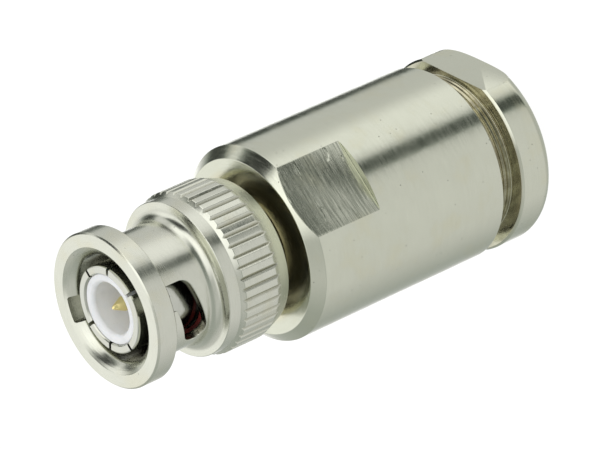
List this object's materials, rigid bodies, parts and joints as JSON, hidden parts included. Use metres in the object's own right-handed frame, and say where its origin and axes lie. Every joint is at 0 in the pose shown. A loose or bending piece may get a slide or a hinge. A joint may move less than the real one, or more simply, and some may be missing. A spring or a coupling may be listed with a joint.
{
  "type": "bnc connector",
  "caption": "Straight bayonet cable plug with a knurled coupling ring, slotted outer contact, centre pin, round body with wrench flats and a threaded clamp nut.",
  "frame": {"origin": "on the plug's axis, at the rear face of the clamp nut, which it stands on", "axes": "+Z along the axis from the cable end to the mating end, +X square to one of the rear body's two wrench flats, +Y along that flat"},
  "size_m": [0.0184, 0.0184, 0.0444],
  "materials": {
    "ring_nickel": "nickel plated, polished, knurled collar",
    "body_nickel": "nickel plated, fine turned",
    "contact_nickel": "nickel plated, bright",
    "washer_nickel": "nickel plated, plain",
    "spring_steel": "plain spring steel",
    "spring_bronze": "plain spring bronze",
    "gold_plate": "gold plated, bright",
    "white_dielectric": "white, waxy, satin",
    "red_silicone": "dark red, matte",
    "black_rubber": "black, matte"
  },
  "bodies": {
    "plug": {"outer_contact": "contact_nickel", "interface_gasket": "red_silicone", "front_insulator": "white_dielectric", "center_pin": "gold_plate", "rear_insulator": "white_dielectric", "front_flat_washer": "washer_nickel", "wave_washer_front": "spring_bronze", "rear_body": "body_nickel", "braid_clamp": "washer_nickel", "cable_gasket": "black_rubber"},
    "spring_spacer": {"spacer_washer": "washer_nickel", "wave_washer_rear": "spring_bronze"},
    "ring_carrier": {"rear_flat_washer": "washer_nickel"},
    "ring": {"coupling_ring": "ring_nickel", "ring_snap_ring": "spring_steel"},
    "nut_carrier": {"slip_washer": "washer_nickel"},
    "nut": {"clamp_nut": "body_nickel"}
  },
  "joints": [
    {"name": "front_spring_squeeze", "type": "slide", "parent": "plug", "child": "spring_spacer", "axis": [0, 0, 1], "range_m": [0, 0.0004], "stiffness_N_per_m": 6000, "springref_m": -0.0005, "deforming": ["wave_washer_front"]},
    {"name": "rear_spring_squeeze", "type": "slide", "parent": "spring_spacer", "child": "ring_carrier", "axis": [0, 0, 1], "range_m": [0, 0.0004], "stiffness_N_per_m": 6000, "springref_m": -0.0005, "deforming": ["wave_washer_rear"]},
    {"name": "ring_turn", "type": "hinge", "parent": "ring_carrier", "child": "ring", "pos_m": [0, 0, 0.035], "axis": [0, 0, 1], "continuous": true},
    {"name": "nut_travel", "type": "slide", "parent": "plug", "child": "nut_carrier", "axis": [0, 0, -1], "range_m": [0, 0.0045]},
    {"name": "nut_turn", "type": "hinge", "parent": "nut_carrier", "child": "nut", "pos_m": [0, 0, 0.004], "axis": [0, 0, -1], "range_deg": [0, 1620]}
  ],
  "couplings": [
    {"joint": "front_spring_squeeze", "follows": "rear_spring_squeeze", "ratio": 1},
    {"joint": "nut_travel", "follows": "nut_turn", "m_per_rad": 0.00015915}
  ]
}
